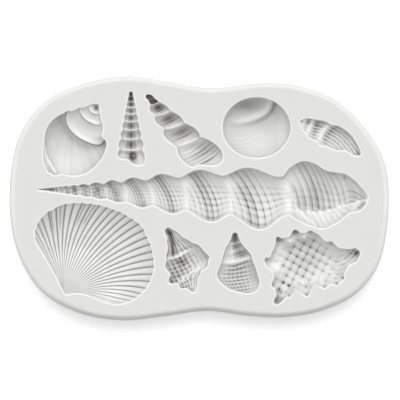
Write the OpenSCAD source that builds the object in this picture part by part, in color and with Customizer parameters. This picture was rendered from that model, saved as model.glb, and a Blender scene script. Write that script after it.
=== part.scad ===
// Soft silicone mould for casting ten small sea shells.
// One slab with a double-lobed outline. Its flat upper face holds ten half-relief hollows.
// Origin: middle of the slab's box, on its underside. +X is the long way, +Y is the spire side, +Z is up.

/* [Slab] */
// Length of the slab, over both lobes
slab_long = 120; // [112:1:150]
// Width of the slab, over its widest lobe
slab_wide = 77.3; // [74:0.1:100]
// Silicone left under the deepest hollow
floor_thick = 4; // [2:0.5:8]
// Radius of the rounded upper edge
top_round = 1.6; // [0.8:0.1:2.5]
// Radius of the lower edge, where the silicone met the casting tray
foot_round = 0.6; // [0.3:0.1:1.2]

/* [Long spire] */
// Length of the long spire, tip to lip
spire_long = 104.4; // [90:0.1:108]
// Width of its body whorl
spire_wide = 20.9; // [16:0.1:24]
// Depth of its body whorl
spire_deep = 8; // [5:0.5:11]
// Growth from each whorl to the next
spire_growth = 1.31; // [1.25:0.01:1.35]

/* [Snail] */
// Length of the snail, tip to lip
snail_long = 25.8; // [20:0.1:28]
// Width of its body whorl
snail_wide = 19.6; // [15:0.1:21]
// Depth of its body whorl
snail_deep = 9; // [5:0.5:11]

/* [Cerith] */
// Length of the slim cerith, tip to base
cerith_long = 23.3; // [18:0.1:25]
// Width of its last whorl
cerith_wide = 8.6; // [6:0.1:9]
// Depth of its last whorl
cerith_deep = 4; // [2.5:0.5:6]

/* [Turret] */
// Length of the round-whorled turret, tip to lip
turret_long = 31.6; // [26:0.1:33]
// Width of its last whorl
turret_wide = 11; // [8:0.1:12]
// Depth of its last whorl
turret_deep = 4.8; // [3:0.2:7]

/* [Moon shell] */
// Width of the round moon shell
moon_long = 21.2; // [16:0.1:22]
// Height of the round moon shell
moon_wide = 19; // [14:0.1:20]
// Depth of the round moon shell
moon_deep = 8; // [5:0.5:10]
// Height of the ridge round its spire
moon_ridge_high = 1.4; // [0.6:0.1:2]

/* [Whelk] */
// Length of the small whelk, spire to canal
whelk_long = 21.5; // [17:0.1:23]
// Width of its body whorl
whelk_wide = 8; // [6:0.1:9]
// Depth of its body whorl
whelk_deep = 3.6; // [2:0.2:5]

/* [Scallop] */
// Length of the scallop, beak to rim
scallop_long = 32; // [26:0.1:33]
// Depth of the scallop
scallop_deep = 6; // [4:0.5:9]
// Number of ribs on the scallop
scallop_ribs = 29; // [16:1:30]
// Depth of the furrows between its ribs
scallop_rib_high = 0.7; // [0.4:0.1:1.2]

/* [Drill shell] */
// Length of the drill shell, tip to canal
drill_long = 21.8; // [17:0.1:23]
// Width of its body whorl
drill_wide = 14; // [11:0.1:15]
// Depth of its body whorl
drill_deep = 5.5; // [3:0.5:8]

/* [Top shell] */
// Length of the top shell, tip to base
top_long = 18.9; // [15:0.1:21]
// Width of its base
top_wide = 13.2; // [10:0.1:14]
// Depth of its base
top_deep = 5.5; // [3:0.5:8]

/* [Murex] */
// Length of the spined murex, lip to the end of its canal
murex_long = 30; // [25:0.1:32]
// Depth of the murex
murex_deep = 6; // [4:0.5:9]

/* [Hidden] */

// The deepest hollow sets how thick the slab is
slab_thick = floor_thick + max(spire_deep, snail_deep, cerith_deep, turret_deep, moon_deep,
    whelk_deep, scallop_deep, drill_deep, top_deep, murex_deep);
// How far each cutter stands above the upper face
overrun = floor_thick / 8;
// How full the hollows are across: 1 is half round, and less is flatter below with steeper walls
roundness = 0.8;

// Slab outline, anticlockwise from the right-hand end, as shares of its length and width
slab_shares = [[0.5, 0.01], [0.475, 0.2], [0.38, 0.38], [0.28, 0.453], [0.175, 0.473], [0.03, 0.452],
    [-0.09, 0.48], [-0.196, 0.5], [-0.315, 0.465], [-0.415, 0.385], [-0.48, 0.23], [-0.5, 0.01],
    [-0.483, -0.2], [-0.42, -0.375], [-0.32, -0.468], [-0.205, -0.5], [-0.09, -0.483], [0.02, -0.462],
    [0.13, -0.482], [0.23, -0.487], [0.33, -0.457], [0.42, -0.382], [0.48, -0.24]];
slab_steps = 4;

// Where each shell starts or has its hub, as shares of the slab's length and width
spire_place_share = [-0.425, 0.038];
snail_place_share = [-0.269, 0.388];
cerith_place_share = [-0.18, 0.438];
turret_place_share = [-0.137, 0.424];
moon_place_share = [0.151, 0.289];
whelk_place_share = [0.267, 0.314];
scallop_place_share = [-0.3524, -0.3859];
drill_place_share = [-0.082, -0.121];
top_place_share = [0.094, -0.142];
murex_place_share = [0.292, -0.261];

// Each line across a shell is a row: along and out on its left side, along and out on its right side,
// and how full it is. Along is a share of the length, out of half the width, and tips come first.
spire_tip_shares = [[0.002, 0.006, 0.002, -0.006, 1], [0.03, 0.036, 0.03, -0.036, 1],
    [0.06, 0.068, 0.062, -0.07, 1]];
spire_body_shares = [[0.742, 0.58, 0.764, -0.54, 0.95], [0.765, 0.88, 0.795, -0.72, 1],
    [0.8, 1.06, 0.835, -0.88, 1], [0.835, 1, 0.87, -0.93, 1], [0.87, 0.8, 0.897, -0.8, 1],
    [0.905, 0.74, 0.92, -0.67, 1], [0.935, 0.69, 0.94, -0.5, 1], [0.965, 0.45, 0.96, -0.4, 1],
    [0.985, 0.22, 0.977, -0.34, 1], [0.998, 0.06, 0.992, -0.2, 1]];
snail_shares = [[0, 0.04, 0.02, -0.06, 1], [0.05, 0.14, 0.05, -0.13, 0.9], [0.1, 0.24, 0.085, -0.21, 0.7],
    [0.14, 0.33, 0.13, -0.3, 0.9], [0.19, 0.46, 0.157, -0.42, 0.7], [0.25, 0.57, 0.21, -0.51, 0.92],
    [0.33, 0.66, 0.25, -0.61, 0.9], [0.345, 0.8, 0.262, -0.7, 0.72], [0.37, 0.9, 0.32, -0.78, 0.95],
    [0.43, 0.96, 0.375, -0.88, 1], [0.5, 0.99, 0.49, -0.99, 1], [0.56, 1, 0.605, -0.98, 1],
    [0.63, 0.97, 0.71, -0.88, 1], [0.7, 0.93, 0.78, -0.78, 1], [0.755, 0.87, 0.856, -0.69, 0.97],
    [0.815, 0.78, 0.93, -0.56, 0.93], [0.89, 0.58, 0.995, -0.38, 0.9], [0.94, 0.32, 1.025, -0.24, 0.9],
    [0.96, 0.12, 1.015, -0.14, 0.9]];
cerith_body_shares = [[0.79, 0.8, 0.785, -0.8, 0.85], [0.85, 0.94, 0.85, -0.96, 1],
    [0.93, 1, 0.895, -0.87, 1], [0.985, 0.88, 0.915, -0.55, 1], [1, 0.6, 0.915, -0.32, 1],
    [0.995, 0.3, 0.93, -0.16, 1]];
turret_body_shares = [[0.66, 0.68, 0.59, -0.66, 0.85], [0.75, 0.94, 0.63, -0.8, 1],
    [0.82, 1.06, 0.68, -0.92, 1], [0.88, 1.09, 0.74, -0.92, 1], [0.93, 1.03, 0.8, -0.86, 1],
    [0.97, 0.88, 0.845, -0.74, 1], [0.99, 0.63, 0.86, -0.46, 1], [0.985, 0.34, 0.9, -0.16, 1]];
whelk_shares = [[0, 0.1, 0.01, -0.1, 1], [0.04, 0.37, 0.06, -0.37, 1], [0.17, 0.68, 0.205, -0.65, 0.85],
    [0.25, 0.9, 0.28, -0.65, 1], [0.36, 1, 0.37, -0.7, 0.85], [0.46, 1.05, 0.44, -0.83, 1],
    [0.57, 1.14, 0.56, -0.6, 1], [0.68, 1.12, 0.68, -0.45, 1], [0.8, 0.94, 0.78, -0.16, 1],
    [0.89, 0.69, 0.86, -0.15, 1], [0.975, 0.36, 0.93, -0.16, 1], [1.005, 0.14, 0.98, -0.13, 1]];
drill_shares = [[0.02, 0.06, 0.015, -0.14, 1], [0.07, 0.22, 0.06, -0.21, 1],
    [0.13, 0.34, 0.14, -0.19, 0.85], [0.21, 0.44, 0.2, -0.28, 1], [0.26, 0.6, 0.26, -0.31, 1],
    [0.34, 0.78, 0.32, -0.4, 0.9], [0.38, 0.96, 0.37, -0.53, 1], [0.45, 1.06, 0.43, -0.58, 0.85],
    [0.53, 1.15, 0.51, -0.74, 1], [0.61, 1.25, 0.58, -0.7, 1], [0.66, 1.13, 0.62, -0.66, 1],
    [0.72, 1.02, 0.66, -0.67, 1], [0.76, 0.67, 0.72, -0.83, 1], [0.81, 0.56, 0.78, -0.73, 1],
    [0.85, 0.38, 0.82, -0.53, 1], [0.93, 0.26, 0.9, -0.22, 1], [0.98, 0.14, 0.97, -0.11, 1]];
top_shares = [[0.01, 0.06, 0.01, -0.06, 1], [0.1, 0.13, 0.1, -0.21, 1], [0.17, 0.24, 0.165, -0.31, 0.85],
    [0.25, 0.41, 0.24, -0.46, 1], [0.33, 0.59, 0.31, -0.55, 1], [0.4, 0.72, 0.39, -0.64, 1],
    [0.46, 0.74, 0.465, -0.7, 0.85], [0.57, 0.84, 0.56, -0.82, 1], [0.675, 0.93, 0.65, -0.94, 1],
    [0.75, 0.97, 0.71, -0.96, 1], [0.83, 1.02, 0.78, -0.86, 1], [0.92, 0.96, 0.865, -0.63, 1],
    [0.99, 0.8, 0.935, -0.35, 1], [1.015, 0.55, 0.985, 0.05, 1]];

// Spires that follow a rule: where the last seam is, how far the tip stops short of the cone's point,
// neck width there, taper, how far each row leans, and how sharp the whorls are
spire_rule_shares = [0.745, 0, 0.8, 1, 0.022, 1.3];
cerith_rule_shares = [0.765, 0.75, 0.78, 0.8, 0, 1];
turret_rule_shares = [0.63, 0.4, 0.67, 0.65, -0.075, 1];
// Their whorls: the number of a whorl, its neck beside the taper's, and its swell on the left and the right
spire_whorl_shares = [[0, 1, 0.15, 0.25], [4, 1, 0.19, 0.32], [6, 1, 0.29, 0.49], [7, 0.92, 0.37, 0.62],
    [8, 0.68, 0.49, 0.81]];
cerith_whorl_shares = [[0, 1, 0.21, 0.21], [7, 1, 0.21, 0.21]];
turret_whorl_shares = [[0, 3.2, 0.1, 0.1], [0.33, 1.8, 0.1, 0.1], [0.67, 1, 0.13, 0.2],
    [1.5, 1, 0.25, 0.65], [2.5, 1, 0.32, 0.48], [3.5, 1, 0.38, 0.37]];
cerith_growth = 1.09;
turret_growth = 1.26;
spire_whorls = 8;
cerith_whorls = 7;
turret_whorls = 4;

// The ridge round the moon shell's spire, from the rim inward
moon_ridge_shares = [[0.245, 0.44], [0.23, 0.352], [0.186, 0.255], [0.089, 0.173], [-0.083, 0.106],
    [-0.277, 0.069], [-0.47, 0.099]];

// The scallop's rim from its beak's point of view, anticlockwise from the lower corner
scallop_rim_shares = [[0.524, -0.113], [0.597, -0.094], [0.672, -0.063], [0.729, -0.02], [0.781, 0.034],
    [0.826, 0.104], [0.853, 0.175], [0.868, 0.25], [0.865, 0.329], [0.853, 0.404], [0.831, 0.479],
    [0.799, 0.549], [0.765, 0.624], [0.711, 0.687], [0.645, 0.73], [0.588, 0.766], [0.527, 0.796],
    [0.464, 0.819], [0.398, 0.841], [0.332, 0.859], [0.257, 0.871], [0.147, 0.88], [0.076, 0.877],
    [0.006, 0.871], [-0.047, 0.859], [-0.1, 0.832], [-0.18, 0.787], [-0.241, 0.726], [-0.281, 0.66],
    [-0.298, 0.585], [-0.289, 0.497]];
// Its ribs: the share of them that is passed, and the angle there
scallop_rib_shares = [[0, -12.2], [0.069, -8], [0.172, 3], [0.517, 48], [0.69, 68], [0.862, 97],
    [1, 119.5]];
// How far its ribs bow to the left: angle, and the most that a rib leaves its straight line
scallop_bow_shares = [[-5, 0.047], [20, 0.05], [45, 0.06], [64, 0.075], [80, 0.056], [96, 0.016],
    [110, -0.01]];
// The rounded beak's middle and radius, how far the walls reach in from both straight margins,
// and how far the lower margin winds
scallop_beak_shares = [0.015, 0.012, 0.028];
scallop_wall_share = 0.156;
scallop_margin_share = 0.375;

// The murex is drawn round a hub: angle, and reach as a share of its length. Its walls reach in as far
// as the next share.
murex_wall_share = 0.17;
murex_rim_shares = [[-128, 0.57], [-124, 0.5], [-122, 0.44], [-119, 0.34], [-115, 0.31], [-109, 0.335],
    [-102, 0.33], [-96, 0.355], [-86, 0.29], [-78, 0.242], [-67, 0.275], [-61, 0.315], [-50, 0.305],
    [-44, 0.335], [-40, 0.37], [-26, 0.395], [-18, 0.38], [-8, 0.39], [-2, 0.435], [2, 0.49], [9, 0.535],
    [14, 0.52], [17, 0.47], [19, 0.41], [22, 0.37], [27, 0.32], [35, 0.31], [44, 0.305], [50, 0.27],
    [60, 0.273], [70, 0.295], [79, 0.306], [90, 0.323], [99, 0.306], [108, 0.315], [115, 0.372],
    [125, 0.352], [133, 0.34], [138, 0.38], [142, 0.425], [151, 0.41], [158, 0.395], [169, 0.417],
    [176, 0.476], [183, 0.44], [189, 0.42], [194, 0.386], [203, 0.402], [212, 0.47], [220, 0.48],
    [226, 0.51]];

// Turns the rows of a list into a smooth curve and reads it at place t
function row_of(rows, i, closed) =
    closed ? rows[(i + len(rows)) % len(rows)] : rows[max(0, min(len(rows) - 1, i))];
function curve_at(rows, t, closed) =
    let(i = floor(t), f = t - i,
        a = row_of(rows, i - 1, closed), b = row_of(rows, i, closed),
        c = row_of(rows, i + 1, closed), d = row_of(rows, i + 2, closed))
    b + f / 2 * (c - a + f * (2 * a - 5 * b + 4 * c - d + f * (3 * (b - c) + d - a)));
function curve(rows, steps, closed = false) =
    let(last = closed ? len(rows) * steps - 1 : (len(rows) - 1) * steps)
    [for (k = [0 : last]) curve_at(rows, k / steps, closed)];

// Rows of a spire whose whorls grow by one rule: each seam stands further out than the last by the growth
function whorl_share(rows, whorl, column) = lookup(whorl, [for (r = rows) [r[0], r[column]]]);
function whorl_rows(rule, whorl_shares, growth, whorls, steps) =
    [for (k = [0 : whorls * steps - 1])
        let(whorl = k / steps,
            along = (rule[0] + rule[1]) * pow(growth, whorl - whorls) - rule[1],
            neck = rule[2] * pow(along / rule[0], rule[3]) * whorl_share(whorl_shares, whorl, 1),
            swell = pow(sin(180 * (whorl - floor(whorl))), rule[5]),
            left = neck * (1 + whorl_share(whorl_shares, whorl, 2) * swell),
            right = neck * (1 + whorl_share(whorl_shares, whorl, 3) * swell))
        [along - rule[4] * left, left, along + rule[4] * right, -right, 1]];

// How far a point lies from a path of points, and how far along the path it is, from 0 to 1
function part_of(p, a, b) = max(0, min(1, (p - a) * (b - a) / ((b - a) * (b - a))));
function beside(p, path) =
    let(gaps = [for (i = [0 : len(path) - 2])
            let(part = part_of(p, path[i], path[i + 1]))
            [norm(p - path[i] - part * (path[i + 1] - path[i])), (i + part) / (len(path) - 1)]],
        least = min([for (g = gaps) g[0]]))
    [for (g = gaps) if (g[0] == least) g][0];

// Share of the full depth at a gap from the rim, for a wall as wide as the second number
function wall_share(gap, wide) = sqrt(1 - pow(1 - max(0, min(1, gap / wide)), 2));

module body_of_rings(rings, ring_size) {
    count = len(rings) / ring_size;
    sides = [for (i = [0 : count - 2], j = [0 : ring_size - 1])
        let(a = i * ring_size + j, b = i * ring_size + (j + 1) % ring_size,
            c = b + ring_size, d = a + ring_size)
        each [[a, b, c], [a, c, d]]];
    first_end = [for (j = [1 : ring_size - 2]) [0, j + 1, j]];
    last = (count - 1) * ring_size;
    last_end = [for (j = [1 : ring_size - 2]) [last, last + j, last + j + 1]];
    polyhedron(rings, concat(sides, first_end, last_end));
}

// Hollow of a shell that grows along its axis. Its rows cross it, and a rounded profile hangs from each.
module strip_hollow(rows, long, wide, deep, bow, sides) {
    rings = [for (r = rows)
        let(left = [r[0] * long, r[1] * wide / 2], right = [r[2] * long, r[3] * wide / 2],
            mid = (left + right) / 2, arm = (left - right) / 2,
            depth = deep * r[4] * min(1, norm(arm) / (wide / 2)))
        for (j = [0 : sides])
            let(v = cos(180 * j / sides), across = mid + v * arm)
            [across[0] + bow * norm(arm) * (1 - v * v), across[1],
                j == 0 || j == sides ? overrun : -depth * pow(sin(180 * j / sides), roundness)]];
    body_of_rings(rings, sides + 1);
}

// Hollow of a shell that spreads round a hub. The rim is shrunk to rings, which lie as deep as depth_at says.
module fan_hollow(rim, rings, depth_at) {
    count = len(rim);
    points = [for (k = [1 : rings], p = rim)
        let(s = k / rings, spot = p * s)
        [spot[0], spot[1], k == rings ? overrun : -depth_at(spot, s)]];
    hub = len(points);
    bands = [for (k = [0 : rings - 2], i = [0 : count - 1])
        let(a = k * count + i, b = k * count + (i + 1) % count, c = b + count, d = a + count)
        each [[a, c, b], [a, d, c]]];
    floor_fan = [for (i = [0 : count - 1]) [hub, i, (i + 1) % count]];
    rim_start = (rings - 1) * count;
    lid_fan = [for (i = [0 : count - 1]) [hub + 1, rim_start + (i + 1) % count, rim_start + i]];
    hubs = [[0, 0, -depth_at([0, 0], 0)], [0, 0, overrun]];
    polyhedron(concat(points, hubs), concat(bands, floor_fan, lid_fan));
}

// Hollow of the scallop. Rays run from its rounded beak to the rim, four to each rib, and bow as the ribs do.
// The furrows between the ribs are the deepest lines.
module ray_hollow(steps) {
    reaches = [for (p = curve(scallop_rim_shares, 2)) [atan2(p[1], p[0]), norm(p) * scallop_long]];
    first = scallop_rib_shares[0][1];
    last = scallop_rib_shares[len(scallop_rib_shares) - 1][1];
    count = scallop_ribs * 4;
    rings = [for (k = [0 : count])
        let(angle = lookup(k / count, scallop_rib_shares),
            aim = [cos(angle), sin(angle)], side = [-aim[1], aim[0]],
            back = -80 - 90 * k / count, beak = scallop_beak_shares * scallop_long,
            start = [beak[0], beak[1]] + beak[2] * [cos(back), sin(back)],
            furrow = k % 4 == 0 ? 1 : 0, reach = lookup(angle, reaches) * (1 + furrow / 200),
            by_margin = max(0, min(1, (-1 - angle) / 10)),
            outermost = k == 0 || k == count)
        for (j = [0 : steps])
            let(t = (1 - cos(180 * j / steps)) / 2,
                bow = 4 * t * (1 - t) * lookup(angle, scallop_bow_shares) * scallop_long,
                margin_bow = t * (1 - t) * (0.75 - t) * scallop_margin_share * scallop_long,
                aside = bow * (1 - by_margin) + margin_bow * by_margin,
                spot = start + t * (aim * reach - start) + aside * side,
                wall_wide = scallop_wall_share * scallop_long,
                wall = wall_share(t * reach * sin(angle - first), wall_wide)
                    * wall_share(t * reach * sin(last - angle), wall_wide)
                    * pow(sin(180 * pow(max(t, 0.3), 0.8)), 0.7),
                ribbed = min(1, wall * 2) * max(0, min(1, (t - 0.14) / 0.12)) * max(0.4, min(1, t * 1.3)),
                bowl = scallop_deep * wall * min(1, 0.4 + 1.2 * t),
                depth = bowl + scallop_rib_high * ribbed * (furrow - 0.3))
            [spot[0], spot[1], j == 0 || j == steps ? overrun
                : outermost ? overrun * (1 - 0.8 * sin(180 * t)) : -max(depth, overrun / 10)]];
    body_of_rings(rings, steps + 1);
}

module placed(share, turn) {
    translate([share[0] * slab_long, share[1] * slab_wide, slab_thick]) rotate(turn) children();
}

module slab() {
    outline = [for (p = curve(slab_shares, slab_steps, true)) [p[0] * slab_long, p[1] * slab_wide]];
    count = len(outline);
    inward = [for (i = [0 : count - 1])
        let(run = outline[(i + 1) % count] - outline[(i + count - 1) % count])
        [-run[1], run[0]] / norm(run)];
    // Each ring is drawn in by the first number, at the height of the second
    edge = concat([for (a = [0 : 45 : 90]) [foot_round * (1 - sin(a)), foot_round * (1 - cos(a))]],
        [for (a = [0 : 30 : 90]) [top_round * (1 - cos(a)), slab_thick - top_round * (1 - sin(a))]]);
    points = [for (e = edge, i = [0 : count - 1])
        let(p = outline[i] + inward[i] * e[0]) [p[0], p[1], e[1]]];
    hub = len(points);
    top = (len(edge) - 1) * count;
    sides = [for (k = [0 : len(edge) - 2], i = [0 : count - 1])
        let(a = k * count + i, b = k * count + (i + 1) % count, c = b + count, d = a + count)
        each [[a, c, b], [a, d, c]]];
    under = [for (i = [0 : count - 1]) [hub, i, (i + 1) % count]];
    over = [for (i = [0 : count - 1]) [hub + 1, top + (i + 1) % count, top + i]];
    polyhedron(concat(points, [[0, 0, 0], [0, 0, slab_thick]]), concat(sides, under, over));
}

module spire_hollow() {
    whorls = whorl_rows(spire_rule_shares, spire_whorl_shares, spire_growth, spire_whorls, 6);
    rows = concat(spire_tip_shares, whorls, curve(spire_body_shares, 2));
    placed(spire_place_share, -1.6) strip_hollow(rows, spire_long, spire_wide, spire_deep, 0.2, 12);
}

module snail_hollow() {
    placed(snail_place_share, -120)
        strip_hollow(curve(snail_shares, 2), snail_long, snail_wide, snail_deep, 0.5, 16);
}

module cerith_hollow() {
    rows = concat(whorl_rows(cerith_rule_shares, cerith_whorl_shares, cerith_growth, cerith_whorls, 4),
        cerith_body_shares);
    placed(cerith_place_share, -90) strip_hollow(rows, cerith_long, cerith_wide, cerith_deep, 0.1, 8);
}

module turret_hollow() {
    rows = concat(whorl_rows(turret_rule_shares, turret_whorl_shares, turret_growth, turret_whorls, 6),
        turret_body_shares);
    placed(turret_place_share, -49) strip_hollow(rows, turret_long, turret_wide, turret_deep, 0.1, 10);
}

module whelk_hollow() {
    placed(whelk_place_share, -29.6)
        strip_hollow(curve(whelk_shares, 2), whelk_long, whelk_wide, whelk_deep, 0.1, 10);
}

module drill_hollow() {
    placed(drill_place_share, -69)
        strip_hollow(curve(drill_shares, 2), drill_long, drill_wide, drill_deep, 0.1, 10);
}

module top_hollow() {
    placed(top_place_share, -86.6)
        strip_hollow(curve(top_shares, 2), top_long, top_wide, top_deep, 0.1, 10);
}

module moon_hollow() {
    rim = [for (a = [0 : 7.5 : 352.5]) [cos(a) * moon_long, sin(a) * moon_wide] / 2];
    ridge = curve(moon_ridge_shares, 2) * moon_long;
    // The ridge is highest at the rim and dies away inward
    placed(moon_place_share, 0) fan_hollow(rim, 9, function (spot, s)
        let(wall = pow(1 - s * s, roundness / 2), near = beside(spot, ridge))
        wall * (moon_deep - moon_ridge_high * pow(1 - near[1], 0.6) * exp(-near[0] / moon_ridge_high)));
}

module scallop_hollow() {
    placed(scallop_place_share, 0) ray_hollow(10);
}

module murex_hollow() {
    corners = [for (r = murex_rim_shares) [cos(r[0]), sin(r[0])] * r[1] * murex_long];
    rim = curve(corners, 2, true);
    placed(murex_place_share, 0) fan_hollow(rim, 7, function (spot, s)
        murex_deep * wall_share(beside(spot, concat(rim, [rim[0]]))[0], murex_wall_share * murex_long));
}

module mould_body() {
    color([0.89, 0.89, 0.88])
    difference() {
        slab();
        spire_hollow();
        snail_hollow();
        cerith_hollow();
        turret_hollow();
        moon_hollow();
        whelk_hollow();
        scallop_hollow();
        drill_hollow();
        top_hollow();
        murex_hollow();
    }
}

mould_body();
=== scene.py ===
import bpy
import numpy as np
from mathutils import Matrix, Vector
from mathutils.geometry import tessellate_polygon


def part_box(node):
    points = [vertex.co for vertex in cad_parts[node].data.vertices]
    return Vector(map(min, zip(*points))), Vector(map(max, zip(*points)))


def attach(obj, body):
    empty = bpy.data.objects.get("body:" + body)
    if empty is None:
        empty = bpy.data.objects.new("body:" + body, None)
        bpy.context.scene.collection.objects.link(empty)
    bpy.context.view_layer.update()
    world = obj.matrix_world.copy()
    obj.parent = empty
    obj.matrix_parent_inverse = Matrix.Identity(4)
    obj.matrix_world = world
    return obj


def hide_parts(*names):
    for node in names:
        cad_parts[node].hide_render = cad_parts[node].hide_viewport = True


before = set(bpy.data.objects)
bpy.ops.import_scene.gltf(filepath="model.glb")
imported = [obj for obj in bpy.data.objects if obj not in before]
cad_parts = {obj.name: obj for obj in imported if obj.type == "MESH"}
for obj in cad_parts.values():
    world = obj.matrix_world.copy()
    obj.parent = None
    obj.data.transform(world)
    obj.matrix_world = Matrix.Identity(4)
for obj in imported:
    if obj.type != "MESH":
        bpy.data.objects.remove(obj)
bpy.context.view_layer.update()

# The slab
# A flat block of pale platinum-cured silicone, poured in one go over ten master shells in a tray.
# The tray gives it a double-lobed outline, a soft upper edge and a crisp, flat underside.
MM = 0.001
slab_low, slab_high = (np.array(corner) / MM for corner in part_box("mould_body"))
slab_long, slab_wide, slab_thick = slab_high - slab_low
top_round = 1.6
foot_round = 0.6
flat_band = 0.3
slab_shares = [
    (0.5, 0.01), (0.475, 0.2), (0.38, 0.38), (0.28, 0.453), (0.175, 0.473), (0.03, 0.452), (-0.09, 0.48),
    (-0.196, 0.5), (-0.315, 0.465), (-0.415, 0.385), (-0.48, 0.23), (-0.5, 0.01), (-0.483, -0.2),
    (-0.42, -0.375), (-0.32, -0.468), (-0.205, -0.5), (-0.09, -0.483), (0.02, -0.462), (0.13, -0.482),
    (0.23, -0.487), (0.33, -0.457), (0.42, -0.382), (0.48, -0.24)]


def through(rows, steps, closed=False):
    """A smooth curve through given rows, with the given number of steps from each row to the next."""
    rows = np.array(rows, float)
    spans = len(rows) if closed else len(rows) - 1
    place = np.arange(spans * steps + (not closed)) / steps
    first = np.minimum(place.astype(int), spans - 1)
    part = (place - first)[:, None]
    near = [first + k for k in (-1, 0, 1, 2)]
    a, b, c, d = (rows[k % len(rows)] if closed else rows[np.clip(k, 0, spans)] for k in near)
    return b + part / 2 * (c - a + part * (2 * a - 5 * b + 4 * c - d + part * (3 * (b - c) + d - a)))


def outward(loop, soften):
    """Unit directions out of an anticlockwise loop, evened out over the given length of rim."""
    ahead, behind = np.roll(loop, -1, 0), np.roll(loop, 1, 0)
    run = np.linalg.norm(ahead - loop, axis=1)
    turn = (ahead - behind)[:, ::-1] * (1, -1)
    turn /= np.linalg.norm(turn, axis=1)[:, None] + 1e-9
    weight = (run + np.roll(run, 1)) / 2
    place = np.concatenate([[0], np.cumsum(run)[:-1]])
    gap = np.abs(place[:, None] - place[None])
    gap = np.minimum(gap, run.sum() - gap)
    share = np.clip(1 - gap / soften, 0, None) * weight[None]
    even = share @ turn
    return even / (np.linalg.norm(even, axis=1)[:, None] + 1e-9)


vertices, faces, tones = [], [], []


def lay(points, tone=0.0):
    """Adds points to the casting and gives back their numbers in the same arrangement. Tone is 0 for
    the plain silicone, up to 1 for painted shade and down to -1 for painted highlights."""
    start = len(tones)
    flat = points.reshape(-1, 3)
    vertices.extend(flat.tolist())
    tones.extend(np.broadcast_to(tone, points.shape[:-1]).ravel().tolist())
    return np.arange(start, start + len(flat)).reshape(points.shape[:-1])


def skin(rows, closed=True):
    """Faces between rows of point numbers; a closed row joins its last point to its first."""
    a, d = rows[:-1], rows[1:]
    b, c = np.roll(a, -1, 1), np.roll(d, -1, 1)
    quads = np.stack([a, b, c, d], -1)
    faces.extend((quads if closed else quads[:, :-1]).reshape(-1, 4).tolist())


outline = through(slab_shares, 10, closed=True) * (slab_long, slab_wide)
slab_out = outward(outline, 2.0)
foot_turns, top_turns = np.radians((0, 30, 60, 90)), np.radians(np.arange(0, 91, 11.25))
edge = [(foot_round * (1 - np.sin(a)), foot_round * (1 - np.cos(a))) for a in foot_turns]
edge += [(top_round * (1 - np.cos(a)), slab_thick - top_round * (1 - np.sin(a))) for a in top_turns]
edge.append((top_round + flat_band, slab_thick))
slab_rings = [np.column_stack([outline - slab_out * inset, np.full(len(outline), height)])
              for inset, height in edge]
# Painted highlight on the rounded upper edge at the head and sides; painted shade at its foot.
edge_tones = np.array([0] * 5 + [0, -0.1, -0.3, -0.5, -0.6, -0.5, -0.35, -0.15, 0])
light_side = np.where(slab_out[:, 1] > 0, 1 - 0.5 * slab_out[:, 1], 1 + 1.4 * slab_out[:, 1])
slab_numbers = lay(np.array(slab_rings), edge_tones[:, None] * light_side)
skin(slab_numbers)
underside = lay(np.array([[0.0, 0.0, 0.0]]))[0]
faces.extend([int(b), int(a), int(underside)] for a, b in zip(slab_numbers[0], np.roll(slab_numbers[0], -1)))
open_loops = [slab_numbers[-1]]

# The lips
# Every hollow meets the upper face in the same way: the silicone crept a little up each master shell,
# which leaves a soft rounded lip all round the hollow. A flat band of the upper face lies past it.
lip_wide = 0.45
lip_drop = 0.35
lip_band = 0.15


def lip(loop, numbers):
    """The rounded lip round one hollow, out to the flat face. Between two spines it is narrower."""
    area = np.sum(loop[:, 0] * np.roll(loop[:, 1], -1) - loop[:, 1] * np.roll(loop[:, 0], -1))
    if area < 0:
        loop, numbers = loop[::-1], numbers[::-1]
    out = outward(loop, 1.0)
    ray = loop[None] - loop[:, None]
    reach = np.linalg.norm(ray, axis=2)
    ahead = (ray * out[:, None]).sum(2) > 0.6 * reach
    clear = np.where(ahead & (reach > 0), reach, 9).min(1)
    room = np.clip(clear * 0.35 / (lip_wide + lip_band), 0.1, 1)
    room = np.min([np.roll(room, k) for k in range(-3, 4)], 0)
    room = np.mean([np.roll(room, k) for k in range(-3, 4)], 0)[:, None]
    rings = [numbers]
    # The two rounded rings of each lip get a painted highlight.
    for angle, pale in ((45, 0.75), (90, 0.65)):
        a = np.radians(angle)
        ring = loop + out * room * lip_wide * (1 - np.cos(a))
        height = slab_thick - lip_drop * (1 - np.sin(a))
        rings.append(lay(np.column_stack([ring, np.full(len(ring), height)]), -pale))
    ring = loop + out * room * (lip_wide + lip_band)
    rings.append(lay(np.column_stack([ring, np.full(len(ring), slab_thick)])))
    skin(np.array(rings))
    open_loops.append(rings[-1])


# The long spire
# The hollow that a tall auger-like shell left in the silicone, along the middle of the slab. Its whorls
# grow at one rate, with furrows across them, which cross finer cords as a net on the lower side.
spire_long, spire_wide, spire_deep = 104.8, 20.9, 8.0
spire_place, spire_turn = (-0.428, 0.0363), -1.55
spire_whorls, spire_growth, spire_last_seam, spire_lead = 8, 1.31, 0.745, -0.0165
spire_furrows, spire_cords = 8, 8
spire_body_shares = [
    (0.742, 0.58, 0.764, -0.54, 0.95), (0.765, 0.88, 0.795, -0.72, 1), (0.8, 1.06, 0.835, -0.88, 1),
    (0.835, 1, 0.87, -0.93, 1), (0.87, 0.8, 0.897, -0.8, 1), (0.905, 0.74, 0.917, -0.68, 1),
    (0.93, 0.7, 0.936, -0.51, 1), (0.952, 0.56, 0.95, -0.42, 1), (0.97, 0.4, 0.967, -0.4, 1),
    (0.986, 0.22, 0.98, -0.32, 1), (0.998, 0.06, 0.992, -0.18, 1)]
spire_lip = ((291, 206), (298, 209.5), (306, 211), (320, 211.5), (329, 209.5), (340, 206), (352, 203),
             (361, 200.5), (368, 199))
spire_fold = ((287, 190), (290, 200), (297, 209), (305, 217), (315, 225))
spire_core = (309, 202)
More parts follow.
